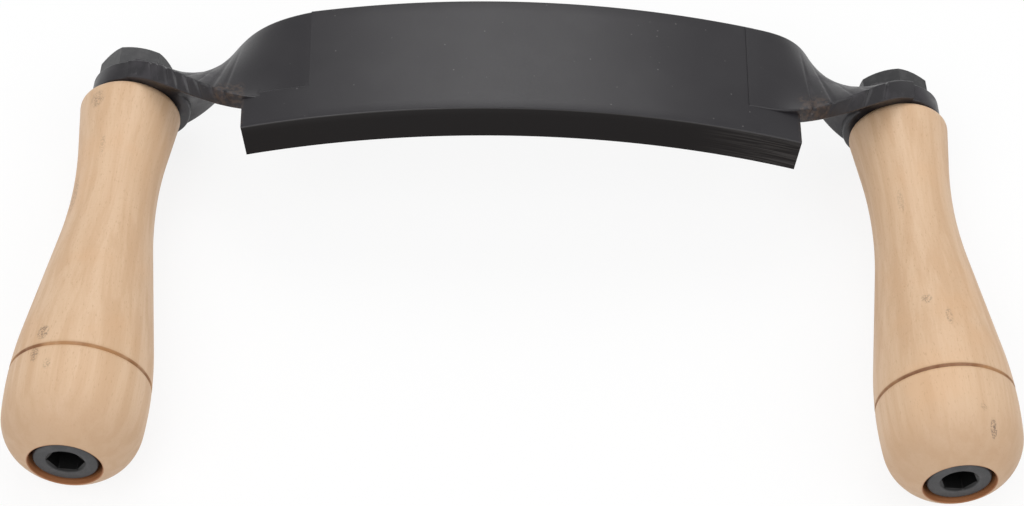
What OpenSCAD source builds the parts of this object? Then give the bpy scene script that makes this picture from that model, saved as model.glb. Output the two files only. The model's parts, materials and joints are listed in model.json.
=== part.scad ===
// Curved drawknife: one forged blade with twisted necks and round ears, and two
// turned wooden handles, each held to its ear by a socket head screw and a nut.
// +X runs along the blade to the right, +Y away from the user, +Z up.
// The knife lies as on a bench, arch upward, on its two ears and two handles.

/* [Blade] */
// Thickness of the steel
plate_t = 5.6; // [4:0.1:6]
// Radius of the outer, convex face of the arch
arch_r = 231; // [200:1:300]
// Height of the arch's outer face over the screws, at the middle
arch_h = 30.8; // [27:0.1:34]
// Half the angle that the full blade spans
arch_half_angle = 17.85; // [16:0.05:18.5]
// Distance from the handle seats back to the spine
spine_y = 14.3; // [12:0.1:16]
// Distance from the handle seats forward to where the bevel starts
bevel_y = 20.1; // [18:0.1:23]
// Distance from the handle seats forward to the cutting edge
edge_y = 24.8; // [23.6:0.1:30]
// Distance from the bevel line up to the corner of the blade's square end
end_corner = 10.5; // [9:0.1:12]

/* [Necks and ears] */
// Distance from the middle of the blade to each ear's hole
ear_x = 100; // [96:0.5:110]
// Outward lean of the left handle, in degrees
splay_left = 4.8; // [0:0.1:8]
// Outward lean of the right handle, in degrees
splay_right = 3.3; // [0:0.1:8]
// Where the left neck starts to twist, from the middle of the blade
twist_from_left = 54; // [52:0.5:60]
// Where the right neck starts to twist, from the middle of the blade
twist_from_right = 60; // [52:0.5:62]
// How much the left neck bows up on its way to the ear
rise_left = 0.1; // [0:0.1:4]
// How much the right neck bows up on its way to the ear
rise_right = 3.7; // [0:0.1:4]
// Width of the steel where the necks leave the blade
neck_w = 26.4; // [24:0.1:27]
// Radius of the ears' round ends
ear_r = 12.9; // [12:0.1:13.5]

/* [Handles] */
// Length of each handle
handle_l = 107.9; // [104:0.1:114]
// Diameter of the waist
waist_d = 21.4; // [18:0.1:24]
// Distance from the ear to the waist
waist_t = 28; // [24:0.5:32]
// Distance from the ear to the fattest place
bulge_t = 88.5; // [85:0.5:92]
// Distance from the ear to the burnt ring
groove_t = 84.3; // [80:0.1:86]
// Depth of the screw head's top below the rim of its hole
head_sink = 1; // [0.5:0.1:3]

/* [Fasteners] */
// Thread diameter of the screws
screw_d = 10; // [9:0.5:10]
// Length of the screws under the head
screw_l = 110; // [106:1:114]
// Width across flats of the nuts
nut_af = 17; // [15:0.5:18]

/* [Hidden] */
$fn = 96;

left = -1;
right = 1;
eps = 0.01;

// Necks: the near half is towards the cutting edge, the far half towards the spine
arch_mid_r = arch_r - plate_t / 2;
arch_axis_z = arch_h - arch_r;
neck_axis_y = 4.3;
neck_near_w = neck_w - (spine_y - neck_axis_y);
neck_ear_w = 12.7;
neck_waist = 0.5;
neck_skin = 0.03;
neck_from_x = 50;
neck_to_x = ear_x + 6;
neck_end_x = ear_x - 3;
neck_end_z = -0.5;
twist_to_left = ear_x + 2.5;
twist_to_right = ear_x + 2;
neck_rings = 30;

// Ears: the round end's centre sits a little inboard of the hole
ear_in_left = 2.2;
ear_in_right = 1.3;
ear_corner = [-1.4, 14.2];
ear_root = [-8, 12.7];
ear_fade = [4.3, 12.1];
bolt_hole_d = 10.5;

// Handle profile: cone, waist arc, cone, bulge arc and dome, each tangent to the next
waist_r = waist_d / 2;
waist_arc = 110;
upper_slope = 6.8;
lower_slope = 8.7;
bulge_arc = 102;
dome_arc = 13.5;
dome_turn = 4.5;
shoulder_arc = 2.6;
groove_w = 1.1;
groove_depth = 0.5;
counterbore_d = 18;
rim_chamfer = 0.2;

upper_t = waist_t - waist_arc * sin(upper_slope);
upper_r = waist_r + waist_arc * (1 - cos(upper_slope));
lower_t = waist_t + waist_arc * sin(lower_slope);
lower_r = waist_r + waist_arc * (1 - cos(lower_slope));
flank_t = bulge_t - bulge_arc * sin(lower_slope);
flank_r = lower_r + (flank_t - lower_t) * tan(lower_slope);
bulge_r = flank_r + bulge_arc * (1 - cos(lower_slope));
bulge_centre_r = bulge_r - bulge_arc;
dome_r = bulge_centre_r + (bulge_arc - dome_arc) * cos(dome_turn);
dome_t = bulge_t + (bulge_arc - dome_arc) * sin(dome_turn);
dome_start_t = bulge_t + bulge_arc * sin(dome_turn);
shoulder_t = shoulder_arc * (1 + sin(upper_slope));
shoulder_r = upper_r + (upper_t - shoulder_arc) * tan(upper_slope) - shoulder_arc / cos(upper_slope);

// Fasteners
head_d = 1.6 * screw_d;
head_h = screw_d;
head_edge = 0.8;
socket_af = 8;
socket_depth = 5;
washer_d = 17.6;
washer_t = 1.6;
nut_h = 8;
thread_chamfer = 1;
head_top_t = handle_l - head_sink;
seat_t = head_top_t - head_h;
counterbore_t = seat_t - washer_t;

// How each nut and each socket happens to be turned
nut_turn_left = -6;
nut_turn_right = -33;
socket_turn_left = 3;
socket_turn_right = -9;

// Rest on a bench: the tilt that puts the ears' corners and the handles' bulges level,
// then the shift that puts the middle of the whole knife's footprint at the origin
mean_splay = (splay_left + splay_right) / 2;
rest_run = bulge_t * cos(mean_splay) + plate_t;
rest_drop = ear_corner[1] - bulge_centre_r;
rest_tilt = asin(bulge_arc / norm([rest_run, rest_drop])) - atan2(rest_drop, rest_run);

function axis_slope(splay) = asin(cos(splay) * sin(rest_tilt));
function handle_low(splay) =
    bulge_t * sin(axis_slope(splay)) - bulge_centre_r * cos(axis_slope(splay)) - bulge_arc;
function ear_low(splay) =
    -(plate_t * cos(splay) + ear_corner[0] * sin(splay)) * sin(rest_tilt)
    - ear_corner[1] * cos(rest_tilt);
function handle_side(splay) =
    ear_x + bulge_t * sin(splay) + bulge_centre_r * cos(splay) + bulge_arc;
function handle_end(splay) =
    let (turn = acos(cos(splay) * cos(rest_tilt)), rim_r = counterbore_d / 2 + rim_chamfer)
    (dome_t + sqrt(dome_arc ^ 2 - (rim_r - dome_r) ^ 2)) * cos(turn) + rim_r * sin(turn);

low_z = min(handle_low(splay_left), handle_low(splay_right), ear_low(splay_left), ear_low(splay_right));
centre_x = (handle_side(splay_right) - handle_side(splay_left)) / 2;
back_y = spine_y * cos(rest_tilt) + arch_h * sin(rest_tilt);
centre_y = (back_y - max(handle_end(splay_left), handle_end(splay_right))) / 2;

function splay_of(side) = side == left ? splay_left : splay_right;
function twist_from(side) = side == left ? twist_from_left : twist_from_right;
function twist_to(side) = side == left ? twist_to_left : twist_to_right;
function rise_of(side) = side == left ? rise_left : rise_right;
function ear_in(side) = side == left ? ear_in_left : ear_in_right;

// Puts the knife as it lies on the bench
module at_rest() {
    translate([-centre_x, -centre_y, -low_z])
        rotate([-rest_tilt, 0, 0])
            children();
}

// Local frame of a handle: its z axis runs from the ear's front face down the handle
module on_handle_axis(side) {
    at_rest()
        translate([side * ear_x, 0, 0])
            rotate([90, 0, side * splay_of(side)])
                children();
}

// Arch: part of a pipe round an axis along y, between two angles from the top
module arch_slice(from, to, outline) {
    translate([0, 0, arch_axis_z])
        rotate([-90, 0, 0])
            rotate([0, 0, from - 90])
                rotate_extrude(angle = to - from)
                    polygon(outline);
}

function arch_angle(x) = asin(x / arch_r);
function bevel_outline(top_y) = [
    [arch_r, top_y], [arch_r, -bevel_y],
    [arch_r - plate_t, -edge_y], [arch_r - plate_t, top_y]
];

// Easing curves from 0 to 1, and the neck's centre line and twist along x
function part_way(x, from, to) = min(max((x - from) / (to - from), 0), 1);
function ease(u) = u * u * (3 - 2 * u);
function slow_ease(u) = u ^ 3 * (u * (6 * u - 15) + 10);
function arch_z(x) = arch_axis_z + sqrt(arch_mid_r ^ 2 - x ^ 2);
function neck_z(x, rise) =
    let (u = part_way(x, neck_from_x, neck_to_x),
         start_slope = -neck_from_x / sqrt(arch_mid_r ^ 2 - neck_from_x ^ 2))
    (1 - ease(u)) * arch_z(neck_from_x)
    + u * (1 - u) ^ 2 * (neck_to_x - neck_from_x) * start_slope
    + ease(u) * neck_end_z
    + 16 * rise * (u * (1 - u)) ^ 2;
function neck_y(x) =
    let (s = ease(part_way(x, neck_from_x, neck_to_x)))
    neck_axis_y * (1 - s) + plate_t / 2 * s;
function near_width(x) =
    let (s = ease(part_way(x, neck_from_x, neck_to_x)))
    neck_near_w * (1 - s) + neck_ear_w * s;
function far_width(x) =
    let (s = ease(part_way(x, neck_from_x, neck_to_x)), w = part_way(x, neck_from_x, ear_x + 2))
    (spine_y - neck_axis_y) * (1 - s) + neck_ear_w * s - 4 * neck_waist * w * (1 - w);

// Ear plane: a handle that leans out turns its ear and draws the neck with it
function splay_shift(x, splay) =
    tan(splay) * (x - ear_x) * max((x - neck_from_x) / (ear_x - neck_from_x), 0) ^ 2;

// Four corners of the neck at x: near and far edge, each on the outer and inner face
function neck_ring(x, side) =
    let (rise = rise_of(side),
         slope = (neck_z(x + eps, rise) - neck_z(x - eps, rise)) / (2 * eps),
         drift = (neck_y(x + eps) - neck_y(x - eps)) / (2 * eps),
         along = [1, drift, slope] / norm([1, drift, slope]),
         up = cross(along, [0, 1, 0]) / norm(cross(along, [0, 1, 0])),
         across = cross(up, along),
         turn = 90 * slow_ease(part_way(x, twist_from(side), twist_to(side))),
         near = -cos(turn) * across + sin(turn) * up,
         outward = cos(turn) * up + sin(turn) * across,
         middle = [x, neck_y(x), neck_z(x, rise)],
         half_t = plate_t / 2 - neck_skin,
         near_w = near_width(x) - neck_skin,
         far_w = far_width(x) - neck_skin)
    [for (corner = [[near_w, half_t], [near_w, -half_t], [-far_w, -half_t], [-far_w, half_t]])
        let (p = middle + corner[0] * near + corner[1] * outward)
        [p[0], p[1] + splay_shift(p[0], splay_of(side)), p[2]]];

module neck(side) {
    start_x = twist_from(side) - 3;
    step = (neck_end_x - start_x) / (neck_rings - 1);
    rings = [for (i = [0 : neck_rings - 1]) neck_ring(start_x + i * step, side)];
    points = [for (ring = rings) each ring];
    last = 4 * (neck_rings - 1);
    sides = [for (i = [0 : neck_rings - 2], k = [0 : 3])
        let (a = 4 * i + k, b = 4 * i + (k + 1) % 4)
        each [[a, b + 4, b], [a, a + 4, b + 4]]];
    ends = [[0, 1, 2], [0, 2, 3], [last, last + 2, last + 1], [last, last + 3, last + 2]];
    mirror([side == left ? 1 : 0, 0, 0])
        polyhedron(points = points, faces = concat(sides, ends));
}

module ear_outline(side) {
    fade_x = ear_fade[0] - ear_in(side);
    translate([-ear_in(side), 0])
        circle(r = ear_r);
    polygon([ear_root, ear_corner, [fade_x, ear_fade[1]],
             [fade_x, -ear_fade[1]], [ear_corner[0], -ear_corner[1]], [ear_root[0], -ear_root[1]]]);
}

module ear(side) {
    translate([side * ear_x, 0, 0])
        rotate([90, 0, side * splay_of(side)])
            translate([0, 0, -plate_t])
                linear_extrude(plate_t)
                    mirror([side == left ? 1 : 0, 0])
                        ear_outline(side);
}

module bolt_hole(side) {
    translate([side * ear_x, 0, 0])
        rotate([90, 0, side * splay_of(side)])
            translate([0, 0, -plate_t - 1])
                cylinder(d = bolt_hole_d, h = plate_t + 2);
}

// What is cut away beside a neck: everything above low_y, from one angle outwards
module notch(side, from, low_y) {
    outline = [[arch_r - 2 * plate_t, low_y], [arch_r + plate_t, low_y],
               [arch_r + plate_t, 2 * spine_y], [arch_r - 2 * plate_t, 2 * spine_y]];
    beyond = arch_half_angle + 2;
    arch_slice(side == left ? -beyond : from, side == left ? -from : beyond, outline);
}

module arch() {
    corner_y = end_corner - bevel_y;
    difference() {
        arch_slice(-arch_half_angle, arch_half_angle, bevel_outline(spine_y));
        for (side = [left, right])
            notch(side, arch_angle(twist_from(side)), corner_y);
    }
}

module blade() {
    color([0.27, 0.26, 0.28])
        at_rest()
            difference() {
                union() {
                    arch();
                    for (side = [left, right]) {
                        neck(side);
                        ear(side);
                    }
                }
                for (side = [left, right])
                    bolt_hole(side);
            }
}

// Half section of a handle: x is the radius, y the distance from the ear
module handle_profile() {
    // shoulder and upper cone
    square([shoulder_r, shoulder_t]);
    intersection() {
        translate([shoulder_r, shoulder_arc])
            circle(r = shoulder_arc);
        square([2 * bulge_r, shoulder_t]);
    }
    polygon([[0, shoulder_t], [shoulder_r + shoulder_arc * cos(upper_slope), shoulder_t],
             [upper_r, upper_t], [0, upper_t]]);
    // waist and lower cone
    difference() {
        translate([0, upper_t])
            square([bulge_r, lower_t - upper_t]);
        translate([waist_r + waist_arc, waist_t])
            circle(r = waist_arc);
    }
    polygon([[0, lower_t], [lower_r, lower_t], [flank_r, flank_t], [0, flank_t]]);
    // bulge
    intersection() {
        translate([bulge_centre_r, bulge_t])
            circle(r = bulge_arc);
        translate([0, flank_t])
            square([2 * bulge_r, dome_start_t - flank_t]);
    }
    // domed end
    intersection() {
        union() {
            translate([dome_r, dome_t])
                circle(r = dome_arc);
            translate([0, dome_t])
                square([dome_r, dome_arc]);
        }
        translate([0, dome_start_t])
            square([2 * bulge_r, handle_l]);
    }
}

module groove_profile() {
    edge_r = bulge_r - (bulge_t - groove_t) ^ 2 / (2 * bulge_arc);
    polygon([[edge_r - groove_depth, groove_t],
             [edge_r + 1, groove_t - groove_w * (1 + 1 / groove_depth) / 2],
             [edge_r + 1, groove_t + groove_w * (1 + 1 / groove_depth) / 2]]);
}

module bore_profile() {
    rim_t = dome_t + sqrt(dome_arc ^ 2 - (counterbore_d / 2 + rim_chamfer - dome_r) ^ 2);
    translate([-1, -1])
        square([bolt_hole_d / 2 + 1, handle_l + dome_arc]);
    translate([-1, counterbore_t])
        square([counterbore_d / 2 + 1, handle_l]);
    polygon([[0, rim_t + 1], [0, rim_t - rim_chamfer], [counterbore_d / 2, rim_t - rim_chamfer],
             [counterbore_d / 2 + rim_chamfer, rim_t], [counterbore_d / 2 + rim_chamfer + 1, rim_t + 1]]);
}

module handle(side) {
    color([0.86, 0.72, 0.56])
        on_handle_axis(side)
            rotate_extrude()
                difference() {
                    handle_profile();
                    groove_profile();
                    bore_profile();
                }
}

// Socket head screw, head down in the handle's end and thread out through the nut
module screw(side, socket_turn) {
    color([0.2, 0.2, 0.21])
        on_handle_axis(side)
            difference() {
                union() {
                    translate([0, 0, seat_t])
                        cylinder(d = head_d, h = head_h - head_edge);
                    translate([0, 0, head_top_t - head_edge])
                        cylinder(d1 = head_d, d2 = head_d - 2 * head_edge, h = head_edge);
                    translate([0, 0, seat_t - screw_l + thread_chamfer])
                        cylinder(d = screw_d, h = screw_l - thread_chamfer);
                    translate([0, 0, seat_t - screw_l])
                        cylinder(d1 = screw_d - 2 * thread_chamfer, d2 = screw_d, h = thread_chamfer);
                }
                translate([0, 0, head_top_t - socket_depth])
                    rotate([0, 0, socket_turn])
                        cylinder(d = socket_af / cos(30), h = socket_depth + 1, $fn = 6);
            }
}

module washer(side) {
    color([0.62, 0.62, 0.6])
        on_handle_axis(side)
            translate([0, 0, counterbore_t])
                difference() {
                    cylinder(d = washer_d, h = washer_t);
                    translate([0, 0, -1])
                        cylinder(d = bolt_hole_d, h = washer_t + 2);
                }
}

// Hexagon nut on the back of the ear, its outer corners turned off at 30 degrees
module nut(side, turn) {
    corner_d = nut_af / cos(30);
    bevel_h = (corner_d - nut_af * 0.95) / 2 * tan(30);
    color([0.22, 0.22, 0.23])
        on_handle_axis(side)
            translate([0, 0, -plate_t])
                rotate([180, 0, turn])
                    difference() {
                        intersection() {
                            cylinder(d = corner_d, h = nut_h, $fn = 6);
                            union() {
                                cylinder(d = corner_d + 1, h = nut_h - bevel_h);
                                translate([0, 0, nut_h - bevel_h])
                                    cylinder(d1 = corner_d, d2 = nut_af * 0.95, h = bevel_h);
                            }
                        }
                        translate([0, 0, -1])
                            cylinder(d = screw_d, h = nut_h + 2);
                    }
}

blade();
handle(left);  // handle_left
handle(right);  // handle_right
screw(left, socket_turn_left);  // screw_left
screw(right, socket_turn_right);  // screw_right
washer(left);  // washer_left
washer(right);  // washer_right
nut(left, nut_turn_left);  // nut_left
nut(right, nut_turn_right);  // nut_right
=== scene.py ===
"""Looks of the curved drawknife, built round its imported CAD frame."""
import json
import math

import bmesh
import bpy
from mathutils import Matrix, Vector, noise


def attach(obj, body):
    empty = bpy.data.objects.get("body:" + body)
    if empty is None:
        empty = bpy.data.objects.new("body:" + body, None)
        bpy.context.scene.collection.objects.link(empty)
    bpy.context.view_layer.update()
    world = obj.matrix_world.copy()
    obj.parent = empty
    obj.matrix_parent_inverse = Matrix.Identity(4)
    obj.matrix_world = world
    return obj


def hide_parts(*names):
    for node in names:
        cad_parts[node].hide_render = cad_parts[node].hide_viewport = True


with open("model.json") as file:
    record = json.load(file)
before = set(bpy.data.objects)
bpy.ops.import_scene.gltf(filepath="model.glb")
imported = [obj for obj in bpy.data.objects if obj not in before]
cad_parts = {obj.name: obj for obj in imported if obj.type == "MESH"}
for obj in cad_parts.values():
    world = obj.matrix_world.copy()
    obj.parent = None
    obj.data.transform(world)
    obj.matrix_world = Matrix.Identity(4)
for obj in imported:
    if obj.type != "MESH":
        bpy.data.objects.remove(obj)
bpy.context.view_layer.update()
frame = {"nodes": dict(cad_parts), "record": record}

# Real sizes, in millimetres, as in the CAD source
MM = 0.001
LEFT, RIGHT = -1, 1
NAMES = {LEFT: "left", RIGHT: "right"}
PLATE_T = 5.6
ARCH_R, ARCH_H, ARCH_HALF_ANGLE = 231.0, 30.8, 17.85
SPINE_Y, BEVEL_Y, EDGE_Y, END_CORNER = 14.3, 20.1, 24.8, 10.5
EAR_X, EAR_R, EAR_IN = 100.0, 12.9, {LEFT: 2.2, RIGHT: 1.3}
EAR_CORNERS = {side: [(-8.0, 12.7), (-1.4, 14.2), (4.3 - EAR_IN[side], 12.1)] for side in NAMES}
TWIST_FROM = {LEFT: 54.0, RIGHT: 60.0}
TWIST_TO = {LEFT: EAR_X + 2.5, RIGHT: EAR_X + 2.0}
RISE = {LEFT: 0.1, RIGHT: 3.7}
NECK_W, NECK_AXIS_Y, NECK_EAR_W, NECK_WAIST = 26.4, 4.3, 12.7, 0.5
NECK_FROM_X, NECK_TO_X, NECK_END_X, NECK_END_Z = 50.0, EAR_X + 6, EAR_X - 3, -0.5
ROOT_Y = END_CORNER - BEVEL_Y
HANDLE_L, BULGE_T, WAIST_T, WAIST_R = 107.9, 88.5, 28.0, 10.7
WAIST_ARC, BULGE_ARC, DOME_ARC, SHOULDER_ARC = 110.0, 102.0, 13.5, 2.6
UPPER_SLOPE, LOWER_SLOPE, DOME_TURN = (math.radians(a) for a in (6.8, 8.7, 4.5))
GROOVE_T, GROOVE_W, GROOVE_DEPTH = 84.3, 1.1, 0.5
COUNTERBORE_R, RIM_CHAMFER, BOLT_HOLE_R = 9.0, 0.2, 5.25
SCREW_R, SCREW_L, HEAD_R, HEAD_H, HEAD_SINK, WASHER_T = 5.0, 110.0, 8.0, 10.0, 1.0, 1.6
SOCKET_AF, SOCKET_DEPTH, SOCKET_TURN = 8.0, 5.0, {LEFT: 3.0, RIGHT: -9.0}
NUT_AF, NUT_H, NUT_TURN = 17.0, 8.0, {LEFT: 6.0, RIGHT: 33.0}

# The tool frame: x right, y away from the user, z up, at the handle seats and screw axes
mounts = {m["name"]: m for m in frame["record"]["mounts"]}
edge_axis = mounts["cutting_edge"]["axis"]
REST_TILT = math.atan2(edge_axis[2], -edge_axis[1])
TURN_TO_ROW = Matrix.Rotation(-REST_TILT, 4, "X")
edge_middle = TURN_TO_ROW @ Vector((0, -EDGE_Y, ARCH_H - PLATE_T)) * MM
TO_ROW = (Matrix.Translation(Vector(mounts["cutting_edge"]["pos_m"]) - edge_middle)
          @ TURN_TO_ROW @ Matrix.Scale(MM, 4))
SPLAY = {side: math.asin(abs(mounts["key_socket_" + NAMES[side]]["axis"][0])) for side in NAMES}


def on_ear(side):
    """From the tool frame's axes to a handle's own: z runs from the ear's front face down the handle."""
    return (Matrix.Translation((side * EAR_X, 0, 0)) @ Matrix.Rotation(side * SPLAY[side], 4, "Z")
            @ Matrix.Rotation(math.pi / 2, 4, "X"))


def make_camera():
    """The photograph's camera, whose place, angles and focal length were fitted to outlines."""
    place = Vector((-41.4, -461.5, 602.6))
    yaw, pitch, roll = (math.radians(a) for a in (5.58, 55.09, -6.02))
    focal, middle, image = 2909, Vector((517, 254)), Vector((1024, 506))
    level_part = math.cos(pitch)
    forward = Vector((math.sin(yaw) * level_part, math.cos(yaw) * level_part, -math.sin(pitch)))
    level = Vector((math.cos(yaw), -math.sin(yaw), 0))
    right = math.cos(roll) * level + math.sin(roll) * forward.cross(level)
    down = -math.sin(roll) * level + math.cos(roll) * forward.cross(level)
    turn = Matrix((right, -down, -forward)).transposed().to_4x4()
    data = bpy.data.cameras.new("camera")
    data.sensor_width = 36
    data.lens = focal / image.x * data.sensor_width
    data.shift_x = (image.x / 2 - middle.x) / image.x
    data.shift_y = (middle.y - image.y / 2) / image.x
    camera = bpy.data.objects.new("camera", data)
    camera.matrix_world = Matrix.Translation(TO_ROW @ place) @ TURN_TO_ROW @ turn
    bpy.context.scene.collection.objects.link(camera)
    bpy.context.scene.camera = camera


# Materials

class Nodes:
    """Short calls for one material's nodes."""

    def __init__(self, name):
        self.material = bpy.data.materials.new(name)
        self.material.use_nodes = True
        self.tree = self.material.node_tree
        self.shader = self.tree.nodes["Principled BSDF"]

    def add(self, kind, **values):
        node = self.tree.nodes.new(kind)
        for key, value in values.items():
            setattr(node, key, value)
        return node

    def link(self, source, target):
        self.tree.links.new(source, target)

    def feed(self, socket, value):
        if isinstance(value, bpy.types.NodeSocket):
            self.link(value, socket)
        else:
            socket.default_value = value

    def local(self):
        """A piece's own coordinates in millimetres, stored on its points."""
        return self.add("ShaderNodeAttribute", attribute_name="local_mm").outputs["Vector"]

    def math(self, operation, a, b=0.0, c=0.0):
        node = self.add("ShaderNodeMath", operation=operation)
        for socket, value in zip(node.inputs, (a, b, c)):
            self.feed(socket, value)
        return node.outputs[0]

    def times(self, a, b):
        return self.math("MULTIPLY", a, b)

    def plus(self, a, b):
        return self.math("ADD", a, b)

    def scaled(self, vector, factors):
        node = self.add("ShaderNodeVectorMath", operation="MULTIPLY")
        self.feed(node.inputs[0], vector)
        node.inputs[1].default_value = factors
        return node.outputs[0]

    def from_axis(self, vector):
        """Distance from a piece's own z axis."""
        node = self.add("ShaderNodeVectorMath", operation="LENGTH")
        self.link(self.scaled(vector, (1.0, 1.0, 0.0)), node.inputs[0])
        return node.outputs["Value"]

    def split(self, vector):
        node = self.add("ShaderNodeSeparateXYZ")
        self.feed(node.inputs[0], vector)
        return node.outputs

    def noise(self, vector, scale, detail=3.0, roughness=0.5, distortion=0.0):
        node = self.add("ShaderNodeTexNoise")
        self.feed(node.inputs["Vector"], vector)
        node.inputs["Scale"].default_value = scale
        node.inputs["Detail"].default_value = detail
        node.inputs["Roughness"].default_value = roughness
        node.inputs["Distortion"].default_value = distortion
        return node.outputs["Fac"]

    def span(self, value, low, high, out_low=0.0, out_high=1.0):
        """value from low to high becomes out_low to out_high, eased and held at the ends."""
        node = self.add("ShaderNodeMapRange", interpolation_type="SMOOTHSTEP")
        for key, number in (("Value", value), ("From Min", low), ("From Max", high),
                            ("To Min", out_low), ("To Max", out_high)):
            self.feed(node.inputs[key], number)
        return node.outputs["Result"]

    def band(self, value, middle, half, soft):
        """1 within half of middle, fading to 0 over soft."""
        away = self.math("ABSOLUTE", self.math("SUBTRACT", value, middle))
        return self.span(away, half, half + soft, 1.0, 0.0)

    def mix(self, factor, a, b):
        node = self.add("ShaderNodeMix", data_type="RGBA")
        self.feed(node.inputs["Factor"], factor)
        for socket, value in ((node.inputs[6], a), (node.inputs[7], b)):
            self.feed(socket, value if isinstance(value, bpy.types.NodeSocket) else (*value, 1.0))
        return node.outputs[2]

    def spot(self, vector, centre, size):
        """1 at centre, fading to 0 at the surface of an ellipsoid of half axes size."""
        shifted = self.add("ShaderNodeVectorMath", operation="SUBTRACT")
        self.feed(shifted.inputs[0], vector)
        shifted.inputs[1].default_value = centre
        length = self.add("ShaderNodeVectorMath", operation="LENGTH")
        self.link(self.scaled(shifted.outputs[0], [1 / s for s in size]), length.inputs[0])
        return self.span(length.outputs["Value"], 0.0, 1.0, 1.0, 0.0)

    def relief(self, height, depth_mm, strength=1.0):
        node = self.add("ShaderNodeBump")
        self.feed(node.inputs["Height"], height)
        node.inputs["Distance"].default_value = depth_mm * MM
        node.inputs["Strength"].default_value = strength
        self.link(node.outputs["Normal"], self.shader.inputs["Normal"])

    def finish(self, colour, roughness, **uniform):
        self.feed(self.shader.inputs["Base Color"], colour)
        self.feed(self.shader.inputs["Roughness"], roughness)
        for name, value in uniform.items():
            self.shader.inputs[name.replace("_", " ").title()].default_value = value
        return self.material


def blade_steel():
    """Satin black scale, rougher on the necks, with bare cut faces beside the notches and dust."""
    n = Nodes("blackened_steel")
    local = n.local()
    x, y, _ = n.split(local)
    reach = n.math("ABSOLUTE", x)
    cloud = n.noise(local, 0.06, 2.0)
    grain = n.noise(local, 3.2, 3.0, 0.6)
    colour = n.mix(n.span(cloud, 0.35, 0.65), (0.015, 0.0135, 0.0165), (0.019, 0.0175, 0.0205))
    # rough violet-grey scale on the necks, and bare brown steel where the notches were cut
    neck = n.span(reach, 68.0, 80.0)
    patch = n.times(neck, n.span(n.noise(local, 0.22, 4.0, 0.6), 0.48, 0.66))
    colour = n.mix(n.times(patch, 0.3), colour, (0.06, 0.054, 0.063))
    torn = n.times(n.band(reach, 74.3, 3.0, 1.6), n.span(y, -5.0, -8.0))
    torn = n.times(torn, n.span(n.noise(local, 0.9, 3.0), 0.4, 0.62))
    colour = n.mix(n.times(torn, 0.6), colour, (0.075, 0.05, 0.038))
    # dust
    dust = n.add("ShaderNodeTexVoronoi", feature="F1")
    n.feed(dust.inputs["Vector"], local)
    dust.inputs["Scale"].default_value = 0.42
    fleck = n.span(dust.outputs["Distance"], 0.0, 0.13, 1.0, 0.0)
    fleck = n.times(fleck, n.span(n.noise(local, 0.33, 1.0), 0.5, 0.62))
    colour = n.mix(n.times(fleck, 0.7), colour, (0.16, 0.15, 0.15))
    rough = n.plus(n.span(grain, 0.3, 0.7, 0.33, 0.43), n.times(patch, 0.14))
    height = n.plus(n.times(grain, 0.4), n.times(patch, 0.8))
    n.relief(height, 0.03, 0.6)
    return n.finish(colour, rough)


def ground_bevel():
    """Ground bevel: darker than the scale, with fine grinding lines along the edge at its right end."""
    n = Nodes("ground_bevel")
    local = n.local()
    x, y, _ = n.split(local)
    streak = n.noise(n.scaled(local, (0.05, 5.0, 0.0)), 1.0, 4.0, 0.65)
    ground = n.times(n.span(x, 40.0, 66.0), n.span(streak, 0.42, 0.64))
    colour = n.mix(n.times(ground, 0.7), (0.010, 0.0085, 0.0085), (0.055, 0.051, 0.05))
    # lighter line along the bevel's upper edge: worn edge and painted highlight
    colour = n.mix(n.times(n.band(y, -BEVEL_Y, 0.12, 0.2), 0.35), colour, (0.1, 0.095, 0.095))
    n.relief(streak, 0.02, 0.5)
    n.shader.inputs["Specular IOR Level"].default_value = 0.15
    return n.finish(colour, 0.5)


# Stains of the wood, in a handle's own millimetres: middle, half axes, strength
STAINS = {
    LEFT: [((-7.0, 9.0, 5.5), (3.2, 4.0, 3.8), 0.5), ((-9.5, 6.0, 33.0), (1.6, 4.0, 9.0), 0.4),
           ((-8.5, 14.0, 80.5), (2.2, 4.0, 3.2), 0.75), ((-9.5, 13.0, 86.5), (1.8, 4.0, 4.0), 0.7),
           ((-6.0, 15.0, 90.0), (1.5, 4.0, 2.5), 0.4), ((-4.0, 10.5, 20.0), (1.2, 3.0, 4.0), 0.25)],
    RIGHT: [((-4.0, 15.0, 63.0), (2.0, 4.0, 2.2), 0.5), ((0.5, 16.0, 69.0), (1.3, 4.0, 4.0), 0.4),
            ((6.5, 14.0, 101.0), (1.3, 5.0, 3.6), 0.8), ((4.5, 15.0, 96.0), (1.4, 4.0, 2.0), 0.35),
            ((-5.0, 10.0, 30.0), (1.2, 3.0, 5.0), 0.25)],
}


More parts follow.
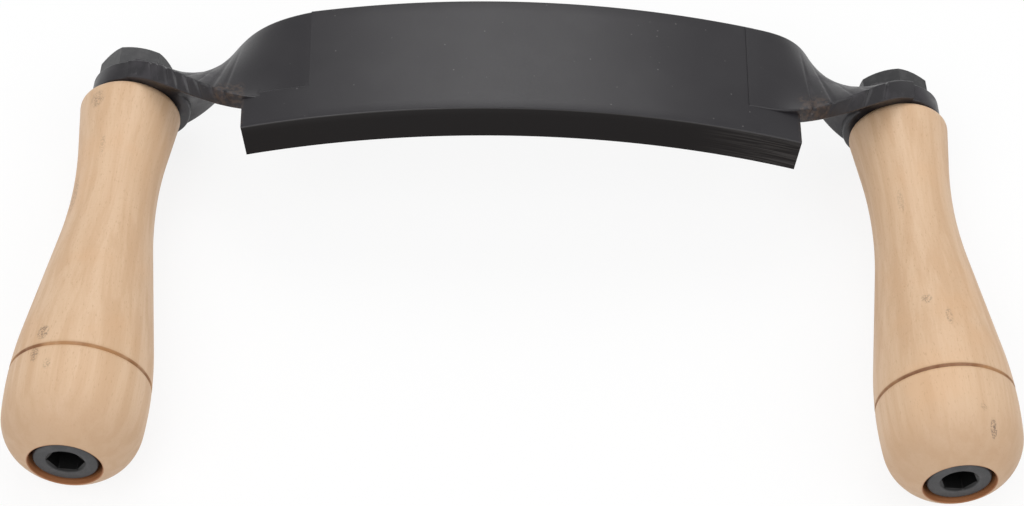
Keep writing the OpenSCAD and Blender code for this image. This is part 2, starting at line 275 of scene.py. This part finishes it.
def turned_wood(side):
    """Pale turned wood with grain along the handle, short flecks, handling stains and a burnt ring."""
    n = Nodes("turned_wood_" + NAMES[side])
    local = n.local()
    t = n.split(local)[2]
    seed = n.add("ShaderNodeVectorMath", operation="ADD")
    n.feed(seed.inputs[0], local)
    seed.inputs[1].default_value = (side * 37.0, 11.0, side * 53.0)
    grown = seed.outputs[0]
    figure = n.noise(n.scaled(grown, (1.0, 1.0, 0.045)), 0.3, 4.0, 0.55, 0.4)
    fibre = n.noise(n.scaled(grown, (1.0, 1.0, 0.05)), 2.2, 3.0, 0.6)
    blotch = n.noise(grown, 0.05, 3.0, 0.55)
    pores = n.noise(n.scaled(grown, (1.0, 1.0, 0.22)), 3.4, 2.0, 0.5)
    colour = n.mix(n.span(figure, 0.36, 0.66), (0.68, 0.476, 0.31), (0.61, 0.404, 0.247))
    colour = n.mix(n.span(fibre, 0.4, 0.75, 0.0, 0.2), colour, (0.56, 0.33, 0.175))
    colour = n.mix(n.span(blotch, 0.48, 0.72, 0.0, 0.4), colour, (0.66, 0.405, 0.225))
    colour = n.mix(n.span(pores, 0.62, 0.7, 0.0, 0.35), colour, (0.42, 0.235, 0.12))
    # domed end: end grain, a little darker and warmer
    radius = n.from_axis(local)
    end = n.span(t, 90.0, 106.0)
    colour = n.mix(n.times(end, 0.65), colour, (0.50, 0.325, 0.2))
    # stains
    speckle = n.span(n.noise(grown, 2.0, 4.0, 0.7), 0.42, 0.62)
    for centre, size, strength in STAINS[side]:
        stain = n.times(n.span(n.spot(local, centre, size), 0.05, 0.5), speckle)
        colour = n.mix(n.times(stain, strength), colour, (0.13, 0.085, 0.06))
    # burnt ring, with a faint scorched fringe
    fringe = n.band(t, GROOVE_T, 0.5, 0.9)
    colour = n.mix(n.times(fringe, 0.3), colour, (0.5, 0.29, 0.14))
    burn = n.times(n.band(t, GROOVE_T, 0.35, 0.3), n.span(figure, 0.3, 0.6, 0.75, 1.0))
    char = n.mix(n.span(blotch, 0.4, 0.6), (0.42, 0.22, 0.09), (0.22, 0.09, 0.035))
    colour = n.mix(burn, colour, char)
    # counterbore and bore: painted shade, dark red-brown, on the walls of the recess
    within = n.span(radius, COUNTERBORE_R + 0.05, COUNTERBORE_R + 0.45, 1.0, 0.0)
    bore_shade = n.times(within, n.span(t, 60.0, 70.0))
    colour = n.mix(bore_shade, colour, (0.33, 0.13, 0.05))
    height = n.plus(n.times(fibre, 0.7), n.times(pores, -0.5))
    rings = n.math("SINE", n.times(t, 2 * math.pi / 0.9))
    height = n.plus(height, n.times(rings, 0.05))
    n.relief(height, 0.05, 0.7)
    rough = n.plus(n.span(figure, 0.3, 0.7, 0.5, 0.6), n.times(end, 0.04))
    return n.finish(colour, rough)


def bolt_steel():
    """Black oxide on screws and nuts, rubbed a little paler in places."""
    n = Nodes("dark_bolt_steel")
    local = n.local()
    rub = n.noise(local, 0.35, 4.0, 0.6)
    grain = n.noise(local, 4.0, 3.0, 0.6)
    colour = n.mix(n.span(rub, 0.4, 0.7), (0.035, 0.035, 0.037), (0.055, 0.054, 0.056))
    # the socket in a screw's head: painted shade, near black
    narrow = n.span(n.from_axis(local), 4.6, 4.8, 1.0, 0.0)
    inside = n.times(narrow, n.span(n.split(local)[2], 90.0, 95.0))
    colour = n.mix(inside, colour, (0.004, 0.004, 0.004))
    rough = n.span(grain, 0.3, 0.7, 0.38, 0.52)
    n.relief(grain, 0.02, 0.5)
    return n.finish(colour, rough, metallic=0.25)


def plain_steel():
    """Dull bare steel of the hidden washers."""
    n = Nodes("plain_steel")
    place = n.add("ShaderNodeTexCoord").outputs["Object"]
    rub = n.noise(place, 900.0, 4.0, 0.6)
    colour = n.mix(n.span(rub, 0.35, 0.7), (0.32, 0.315, 0.3), (0.46, 0.455, 0.44))
    n.relief(rub, 0.02, 0.4)
    return n.finish(colour, n.span(rub, 0.3, 0.7, 0.38, 0.55), metallic=1.0)


# Meshes

def add_piece(name, mesh, to_tool, material, sharp=30):
    """Stores a mesh's own millimetres on its points, puts it in the row frame and shades it."""
    attribute = mesh.attributes.new("local_mm", "FLOAT_VECTOR", "POINT")
    attribute.data.foreach_set("vector", [c for v in mesh.vertices for c in v.co])
    mesh.transform(TO_ROW @ to_tool)
    mesh.materials.clear()
    mesh.materials.append(material)
    for polygon in mesh.polygons:
        polygon.use_smooth = True
    mesh.set_sharp_from_angle(angle=math.radians(sharp))
    piece = bpy.data.objects.new(name, mesh)
    bpy.context.scene.collection.objects.link(piece)
    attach(piece, "root")
    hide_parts(name.replace("_look", ""))
    return piece


def loft(name, rings, closed=False):
    """Skins a list of rings of points; the ends are capped unless the loft closes on itself."""
    count = len(rings[0])
    points = [p for ring in rings for p in ring]
    last = len(rings) if closed else len(rings) - 1
    faces = []
    for i in range(last):
        a, b = i * count, (i + 1) % len(rings) * count
        faces += [(a + k, a + (k + 1) % count, b + (k + 1) % count, b + k) for k in range(count)]
    if not closed:
        faces += [tuple(reversed(range(count))), tuple(range(len(points) - count, len(points)))]
    mesh = bpy.data.meshes.new(name)
    mesh.from_pydata(points, [], faces)
    tidy = bmesh.new()
    tidy.from_mesh(mesh)
    bmesh.ops.recalc_face_normals(tidy, faces=tidy.faces)
    tidy.to_mesh(mesh)
    tidy.free()
    return mesh


def arc(centre, radius, start, end, steps):
    """Points of an arc in a plane; angles in radians."""
    return [(centre[0] + radius * math.cos(a), centre[1] + radius * math.sin(a))
            for a in (start + (end - start) * i / steps for i in range(steps + 1))]


def lathe(name, outline, segments, turn=0.0):
    """Turns a closed outline about z. A radius is a number, or a function of angle and height."""
    rings = []
    for k in range(segments):
        angle = turn + 2 * math.pi * k / segments
        radii = [r(angle, z) if callable(r) else r for r, z in outline]
        heights = [z for _, z in outline]
        rings.append([(r * math.cos(angle), r * math.sin(angle), z) for r, z in zip(radii, heights)])
    return loft(name, rings, closed=True)


def weld(mesh, distance=1e-4):
    """Merges points closer than distance, on a lathe's own axis or where joined parts meet."""
    tidy = bmesh.new()
    tidy.from_mesh(mesh)
    bmesh.ops.remove_doubles(tidy, verts=tidy.verts, dist=distance)
    bmesh.ops.recalc_face_normals(tidy, faces=tidy.faces)
    tidy.to_mesh(mesh)
    tidy.free()
    return mesh


def combine(meshes, operation, name):
    """Joins closed meshes into the first, or cuts them from it."""
    base = bpy.data.objects.new(name, meshes[0])
    bpy.context.scene.collection.objects.link(base)
    tools = []
    for mesh in meshes[1:]:
        tool = bpy.data.objects.new(name + "_tool", mesh)
        bpy.context.scene.collection.objects.link(tool)
        tools.append(tool)
        step = base.modifiers.new("step", "BOOLEAN")
        step.operation, step.solver, step.object = operation, "EXACT", tool
    depsgraph = bpy.context.evaluated_depsgraph_get()
    made = bpy.data.meshes.new_from_object(base.evaluated_get(depsgraph))
    for thing in [base, *tools]:
        bpy.data.objects.remove(thing)
    return made


def part_way(x, start, end):
    return min(max((x - start) / (end - start), 0.0), 1.0)


def ease(u):
    return u * u * (3 - 2 * u)


def slow_ease(u):
    return u ** 3 * (u * (6 * u - 15) + 10)


ARCH_MID_R = ARCH_R - PLATE_T / 2
ARCH_AXIS_Z = ARCH_H - ARCH_R
EASED_R = 0.6
CORNER_BREAK, EDGE_FLAT = 0.15, 0.12


def arch_section(top_y):
    """Outline of the blade as radius and y, from the spine round the bevel and back."""
    inner = ARCH_R - PLATE_T
    face_steps = 10
    start_y = top_y - EASED_R
    outer_run = -BEVEL_Y + CORNER_BREAK - start_y
    outer_face = [(ARCH_R, start_y + outer_run * i / face_steps) for i in range(face_steps + 1)]
    slope = Vector((-PLATE_T, BEVEL_Y - EDGE_Y)).normalized()
    bevel_start = Vector((ARCH_R, -BEVEL_Y)) + CORNER_BREAK * slope
    bevel_end = Vector((inner, -EDGE_Y)) - EDGE_FLAT * slope
    bevel = [tuple(bevel_start.lerp(bevel_end, i / 4)) for i in range(5)]
    inner_start = -EDGE_Y + CORNER_BREAK
    inner_run = start_y + EDGE_Y - CORNER_BREAK
    inner_face = [(inner, inner_start + inner_run * i / face_steps) for i in range(face_steps + 1)]
    top = arc((inner + EASED_R, start_y), EASED_R, math.pi, math.pi / 2, 4)[1:]
    top += arc((ARCH_R - EASED_R, start_y), EASED_R, math.pi / 2, 0, 4)[:-1]
    return outer_face + bevel + inner_face + top


def arch_body():
    """The arched blade between its square ends, cut down to their height beside each neck."""
    stations = []
    full = [math.degrees(math.asin(TWIST_FROM[side] / ARCH_R)) for side in (LEFT, RIGHT)]
    gap = 0.002
    station_step = 0.3
    spans = [(-ARCH_HALF_ANGLE, -full[0], ROOT_Y), (-full[0] + gap, full[1], SPINE_Y),
             (full[1] + gap, ARCH_HALF_ANGLE, ROOT_Y)]
    for start, end, top_y in spans:
        steps = max(2, round((end - start) / station_step))
        stations += [(start + (end - start) * i / steps, top_y) for i in range(steps + 1)]
    rings = []
    for angle, top_y in stations:
        turn = math.radians(angle)
        section = arch_section(top_y)
        rings.append([(r * math.sin(turn), y, ARCH_AXIS_Z + r * math.cos(turn)) for r, y in section])
    return loft("arch", rings)


def neck_z(x, rise):
    u = part_way(x, NECK_FROM_X, NECK_TO_X)
    start_z = ARCH_AXIS_Z + math.sqrt(ARCH_MID_R ** 2 - NECK_FROM_X ** 2)
    start_slope = -NECK_FROM_X / math.sqrt(ARCH_MID_R ** 2 - NECK_FROM_X ** 2)
    return ((1 - ease(u)) * start_z + u * (1 - u) ** 2 * (NECK_TO_X - NECK_FROM_X) * start_slope
            + ease(u) * NECK_END_Z + 16 * rise * (u * (1 - u)) ** 2)


def neck_y(x):
    s = ease(part_way(x, NECK_FROM_X, NECK_TO_X))
    return NECK_AXIS_Y * (1 - s) + PLATE_T / 2 * s


# Tool nicks along the necks' near edges: distance from the blade's middle, depth, half width
NICKS = {
    LEFT: [(89.2, 0.5, 0.5), (87.0, 0.35, 0.4), (84.6, 0.6, 0.55), (82.3, 0.4, 0.4), (79.6, 0.55, 0.5),
           (77.1, 0.35, 0.45), (74.2, 0.5, 0.7), (71.8, 0.4, 0.5)],
    RIGHT: [(87.3, 0.55, 0.5), (82.8, 0.5, 0.5), (79.5, 0.3, 0.4), (75.8, 0.5, 0.55), (72.2, 0.4, 0.6)],
}


def nick_depth(x, side):
    return sum(depth * max(0.0, 1 - abs(x - at) / half) for at, depth, half in NICKS[side])


def between(a, b, count=8):
    """Points spaced evenly between two corners of a section."""
    return [tuple(Vector(a).lerp(Vector(b), i / (count + 1))) for i in range(1, count + 1)]


def neck_ring(x, side):
    """Section of the twisted neck at x: a rectangle with eased corners."""
    step = 0.01
    slope = (neck_z(x + step, RISE[side]) - neck_z(x - step, RISE[side])) / (2 * step)
    drift = (neck_y(x + step) - neck_y(x - step)) / (2 * step)
    along = Vector((1, drift, slope)).normalized()
    up = along.cross(Vector((0, 1, 0))).normalized()
    across = up.cross(along)
    turn = math.pi / 2 * slow_ease(part_way(x, TWIST_FROM[side], TWIST_TO[side]))
    near = -math.cos(turn) * across + math.sin(turn) * up
    outward = math.cos(turn) * up + math.sin(turn) * across
    s = ease(part_way(x, NECK_FROM_X, NECK_TO_X))
    w = part_way(x, NECK_FROM_X, EAR_X + 2)
    skin = 0.004
    near_w = (NECK_W - SPINE_Y + NECK_AXIS_Y) * (1 - s) + NECK_EAR_W * s - skin
    far_w = (SPINE_Y - NECK_AXIS_Y) * (1 - s) + NECK_EAR_W * s - 4 * NECK_WAIST * w * (1 - w) - skin
    half_t = PLATE_T / 2 - skin
    r = EASED_R
    nick = nick_depth(x, side)
    outer = arc((near_w - r - nick, half_t - r - nick), r, math.pi / 2, 0, 4)
    inner = arc((near_w - r, r - half_t), r, 0, -math.pi / 2, 4)
    far = (arc((r - far_w, r - half_t), r, -math.pi / 2, -math.pi, 4)
           + arc((r - far_w, half_t - r), r, math.pi, math.pi / 2, 4))
    outline = outer + inner + between(inner[-1], far[0]) + far + between(far[-1], outer[0])
    middle = Vector((x, neck_y(x), neck_z(x, RISE[side])))
    ring = []
    for a, b in outline:
        p = middle + a * near + b * outward
        drawn = max((p.x - NECK_FROM_X) / (EAR_X - NECK_FROM_X), 0)
        shear = math.tan(SPLAY[side]) * (p.x - EAR_X) * drawn ** 2
        ring.append((side * p.x, p.y + shear, p.z))
    return ring


def neck_body(side):
    overlap = 3
    start = TWIST_FROM[side] - overlap
    count = 150
    places = [start + (NECK_END_X - start) * i / count for i in range(count + 1)]
    return loft("neck", [neck_ring(x, side) for x in places])


def ear_reach(angle, side):
    """Distance from the centre of the ear's round end to its outline."""
    direction = Vector((math.cos(angle), abs(math.sin(angle))))
    best = EAR_R
    blunt = EAR_CORNERS[side]
    outline = [(blunt[0][0], 0.0), *blunt, (blunt[-1][0], 0.0)]
    corners = [Vector((u + EAR_IN[side], v)) for u, v in outline]
    for a, b in zip(corners, corners[1:]):
        edge = b - a
        across = direction.x * edge.y - direction.y * edge.x
        if abs(across) < 1e-9:
            continue
        reach = (a.x * edge.y - a.y * edge.x) / across
        place = (a.x * direction.y - a.y * direction.x) / across
        if 0 <= place <= 1 and reach > best:
            best = reach
    return best


def ear_body(side):
    segments = 180
    eased = 0.5
    levels = [(eased * (1 - math.sin(a)), -eased * (1 - math.cos(a)))
              for a in (math.pi / 2 * i / 4 for i in range(5))]
    levels += [(inset, -PLATE_T - z) for inset, z in reversed(levels)]
    rings = []
    for inset, z in levels:
        ring = []
        for k in range(segments):
            angle = 2 * math.pi * k / segments
            reach = ear_reach(angle, side) - inset
            ring.append((side * (reach * math.cos(angle) - EAR_IN[side]), reach * math.sin(angle), z))
        rings.append(ring)
    mesh = loft("ear", rings)
    mesh.transform(on_ear(side))
    return mesh


def bolt_hole(side):
    depth = PLATE_T + 2
    segments = 64
    angles = [2 * math.pi * k / segments for k in range(segments)]
    ring = [(BOLT_HOLE_R * math.cos(a), BOLT_HOLE_R * math.sin(a)) for a in angles]
    mesh = loft("hole", [[(u, v, z) for u, v in ring] for z in (1, 1 - depth)])
    mesh.transform(on_ear(side))
    return mesh


def handle_outline():
    """Section of a handle as radius and distance from the ear: outside, rim, counterbore and bore."""
    upper_t = WAIST_T - WAIST_ARC * math.sin(UPPER_SLOPE)
    upper_r = WAIST_R + WAIST_ARC * (1 - math.cos(UPPER_SLOPE))
    lower_t = WAIST_T + WAIST_ARC * math.sin(LOWER_SLOPE)
    lower_r = WAIST_R + WAIST_ARC * (1 - math.cos(LOWER_SLOPE))
    flank_t = BULGE_T - BULGE_ARC * math.sin(LOWER_SLOPE)
    flank_r = lower_r + (flank_t - lower_t) * math.tan(LOWER_SLOPE)
    bulge_centre = flank_r - BULGE_ARC * math.cos(LOWER_SLOPE)
    dome_r = bulge_centre + (BULGE_ARC - DOME_ARC) * math.cos(DOME_TURN)
    dome_t = BULGE_T + (BULGE_ARC - DOME_ARC) * math.sin(DOME_TURN)
    shoulder_r = (upper_r + (upper_t - SHOULDER_ARC) * math.tan(UPPER_SLOPE)
                  - SHOULDER_ARC / math.cos(UPPER_SLOPE))
    rim_r = COUNTERBORE_R + RIM_CHAMFER
    rim_turn = math.acos((rim_r - dome_r) / DOME_ARC)
    rim_t = dome_t + DOME_ARC * math.sin(rim_turn)
    seat_t = HANDLE_L - HEAD_SINK - HEAD_H - WASHER_T
    outside = arc((shoulder_r, SHOULDER_ARC), SHOULDER_ARC, -math.pi / 2, UPPER_SLOPE, 10)
    outside += arc((WAIST_R + WAIST_ARC, WAIST_T), WAIST_ARC,
                   math.pi + UPPER_SLOPE, math.pi - LOWER_SLOPE, 36)
    bulge = arc((bulge_centre, BULGE_T), BULGE_ARC, -LOWER_SLOPE, DOME_TURN, 40)
    edge_r = max(r for r, _ in bulge) - (BULGE_T - GROOVE_T) ** 2 / (2 * BULGE_ARC)
    half = GROOVE_W / 2
    before = [p for p in bulge if p[1] < GROOVE_T - half - 0.1]
    after = [p for p in bulge if p[1] > GROOVE_T + half + 0.1]
    groove = [(edge_r, GROOVE_T - half), (edge_r - GROOVE_DEPTH * 0.9, GROOVE_T - 0.1),
              (edge_r - GROOVE_DEPTH, GROOVE_T), (edge_r - GROOVE_DEPTH * 0.9, GROOVE_T + 0.1),
              (edge_r, GROOVE_T + half)]
    outside += before + groove + after
    outside += arc((dome_r, dome_t), DOME_ARC, DOME_TURN, rim_turn, 24)[1:]
    inside = [(COUNTERBORE_R, rim_t - RIM_CHAMFER), (COUNTERBORE_R, (rim_t + seat_t) / 2),
              (COUNTERBORE_R, seat_t), (BOLT_HOLE_R, seat_t), (BOLT_HOLE_R, 0)]
    return outside + inside


def make_handle(side):
    """Turned handle whose outside is out of round by a few hundredths of a millimetre."""
    name = "handle_" + NAMES[side]
    mesh = lathe(name, handle_outline(), 144)
    shift = Vector((side * 9, 0, 0))
    uneven = 0.08
    for vertex in mesh.vertices:
        radius = math.hypot(vertex.co.x, vertex.co.y)
        if radius > COUNTERBORE_R + 0.1 and vertex.co.z > 0.01:
            place = Vector((vertex.co.x, vertex.co.y, vertex.co.z * 0.4))
            wave = noise.noise(place * 0.12 + shift)
            vertex.co.xy = Vector((vertex.co.x, vertex.co.y)) * (1 + uneven * wave / radius)
    add_piece(name + "_look", mesh, on_ear(side), turned_wood(side), sharp=35)


def hexagon(across_flats, turn):
    """Radius of a hexagon at an angle; a corner lies at turn."""
    def radius(angle, _z):
        rest = (angle - turn) % (math.pi / 3) - math.pi / 6
        return across_flats / 2 / math.cos(rest)
    return radius


def make_screw(side, material):
    """Socket head screw: knurled head, chamfered hexagon socket, thread to its chamfered end."""
    name = "screw_" + NAMES[side]
    top = HANDLE_L - HEAD_SINK
    seat = top - HEAD_H
    turn = math.radians(SOCKET_TURN[side])
    socket = hexagon(SOCKET_AF, turn)
    corner = SOCKET_AF / 2 / math.cos(math.pi / 6)

    def knurl(angle, _z):
        return HEAD_R + 0.04 + 0.09 * math.cos(48 * (angle - turn))

    head = [(SCREW_R, seat), (HEAD_R - 0.7, seat), (HEAD_R - 0.3, seat + 0.5),
            (knurl, seat + 0.8), (knurl, top - 1.1), (HEAD_R, top - 0.8)]
    head += arc((HEAD_R - 0.6, top - 0.55), 0.55, 0, math.pi / 2, 6)
    floor_t = top - SOCKET_DEPTH
    head += [(corner + 0.25, top), (corner + 0.05, top - 0.22), (socket, top - 0.5),
             (socket, floor_t + 0.1), (lambda a, z: socket(a, z) - 0.2, floor_t), (0.0, floor_t - 0.6)]
    end = seat - SCREW_L
    pitch, depth, threaded = 1.5, 0.9, 32.0
    thread_top = end + threaded
    shank = [(0.0, end), (SCREW_R - 1.0, end), (SCREW_R - 0.1, end + 0.9)]
    points_a_turn = 6
    steps = round((threaded - 1.2) / pitch * points_a_turn)
    start_z = end + 1.0

    def thread(angle, z):
        phase = (z / pitch - angle / (2 * math.pi)) % 1.0
        return SCREW_R - depth * (1 - abs(2 * phase - 1))

    shank += [(thread, start_z + (thread_top - start_z) * i / steps) for i in range(steps + 1)]
    shank += [(SCREW_R, thread_top + 1.0), (SCREW_R, (thread_top + seat) / 2)]
    mesh = weld(lathe(name, shank + head, 192, turn))
    add_piece(name + "_look", mesh, on_ear(side), material, sharp=32)


def make_nut(side, material):
    """Hexagon nut with both ends turned to 30 degrees and a countersunk bore."""
    name = "nut_" + NAMES[side]
    turn = -math.radians(NUT_TURN[side])
    flats = hexagon(NUT_AF, turn)
    corner = NUT_AF / 2 / math.cos(math.pi / 6)
    face_r = NUT_AF / 2 * 0.95
    cone_h = (corner - face_r) * math.tan(math.pi / 6)
    near, far = -PLATE_T, -PLATE_T - NUT_H

    def outside(angle, z):
        depth = min(z - far, near - z + 0.35)
        cone = face_r + max(depth, 0.0) / math.tan(math.pi / 6)
        return min(flats(angle, z), cone)

    heights = [far + cone_h * 1.15 * (i / 12) for i in range(13)]
    heights += [(far + near) / 2]
    heights += [near - cone_h * 0.8 * (1 - i / 8) for i in range(9)]
    outline = [(SCREW_R + 0.05, near), (SCREW_R + 0.05, far + 0.5), (SCREW_R + 0.55, far)]
    outline += [(outside, z) for z in heights]
    mesh = lathe(name, outline, 192, turn)
    add_piece(name + "_look", mesh, on_ear(side), material, sharp=20)


def is_bevel(polygon):
    """True on the ground face between the outer face and the cutting edge."""
    centre = polygon.center
    radius = math.hypot(centre.x, centre.z - ARCH_AXIS_Z)
    return centre.y < -BEVEL_Y and radius > ARCH_R - PLATE_T + 0.03 and abs(polygon.normal.x) < 0.6


def make_blade():
    parts = [arch_body()]
    parts += [body(side) for side in NAMES for body in (neck_body, ear_body)]
    joined = combine(parts, "UNION", "blade_union")
    drilled = combine([joined, *[bolt_hole(side) for side in NAMES]], "DIFFERENCE", "blade_cut")
    cut = weld(drilled, 0.03)
    ground = [is_bevel(polygon) for polygon in cut.polygons]
    blade = add_piece("blade_look", cut, Matrix.Identity(4), blade_steel(), sharp=44)
    blade.data.materials.append(ground_bevel())
    blade.data.polygons.foreach_set("material_index", [int(flag) for flag in ground])


# Stage

def make_floor():
    """Pale floor that shows near white to the camera and in gloss, and keeps the knife's shadow."""
    size = 3.0
    mesh = bpy.data.meshes.new("floor")
    corners = [(-size, -size, 0), (size, -size, 0), (size, size, 0), (-size, size, 0)]
    mesh.from_pydata(corners, [], [(0, 1, 2, 3)])
    floor = bpy.data.objects.new("floor", mesh)
    n = Nodes("floor")
    n.finish((0.9, 0.9, 0.9, 1.0), 0.9)
    glow = n.add("ShaderNodeEmission")
    glow.inputs["Color"].default_value = (1, 1, 1, 1)
    rays = n.add("ShaderNodeLightPath").outputs
    mirrored = n.math("MAXIMUM", rays["Is Glossy Ray"], rays["Is Transmission Ray"])
    seen = n.math("MAXIMUM", rays["Is Camera Ray"], mirrored)
    blend = n.add("ShaderNodeMixShader")
    n.link(n.times(seen, 0.85), blend.inputs[0])
    n.link(n.shader.outputs[0], blend.inputs[1])
    n.link(glow.outputs[0], blend.inputs[2])
    n.link(blend.outputs[0], n.tree.nodes["Material Output"].inputs["Surface"])
    mesh.materials.append(n.material)
    bpy.context.scene.collection.objects.link(floor)


def make_world(fill):
    """White to the camera and through clear things, and a plain fill on everything else."""
    world = bpy.data.worlds.new("studio")
    world.use_nodes = True
    tree = world.node_tree
    background = tree.nodes["Background"]
    background.inputs["Color"].default_value = (1, 1, 1, 1)
    rays = tree.nodes.new("ShaderNodeLightPath").outputs
    seen = tree.nodes.new("ShaderNodeMath")
    seen.operation = "MAXIMUM"
    tree.links.new(rays["Is Camera Ray"], seen.inputs[0])
    tree.links.new(rays["Is Transmission Ray"], seen.inputs[1])
    strength = tree.nodes.new("ShaderNodeMapRange")
    tree.links.new(seen.outputs[0], strength.inputs["Value"])
    strength.inputs["To Min"].default_value = fill
    strength.inputs["To Max"].default_value = 1.0
    tree.links.new(strength.outputs["Result"], background.inputs["Strength"])
    bpy.context.scene.world = world


def make_lamp(name, place, aim, size, power):
    data = bpy.data.lights.new(name, "AREA")
    data.shape, data.size, data.energy = "DISK", size, power
    lamp = bpy.data.objects.new(name, data)
    lamp.location = place
    lamp.rotation_mode = "QUATERNION"
    lamp.rotation_quaternion = (Vector(aim) - Vector(place)).to_track_quat("-Z", "Y")
    bpy.context.scene.collection.objects.link(lamp)


make_camera()
make_blade()
bolts = bolt_steel()
for side in NAMES:
    make_handle(side)
    make_screw(side, bolts)
    make_nut(side, bolts)
    washer = frame["nodes"]["washer_" + NAMES[side]]
    washer.data.materials.clear()
    washer.data.materials.append(plain_steel())
make_floor()
make_world(0.55)
LAMP_AIM, LAMP_SIZE = (0, 0, 0.02), 0.9
make_lamp("key", (-0.5, -0.55, 1.1), LAMP_AIM, LAMP_SIZE, 6.0)
make_lamp("fill", (0.75, -0.35, 0.9), LAMP_AIM, LAMP_SIZE, 3.0)
make_lamp("back", (0, 0.75, 1.1), LAMP_AIM, LAMP_SIZE, 4.5)
bpy.context.scene.view_settings.view_transform = "Standard"
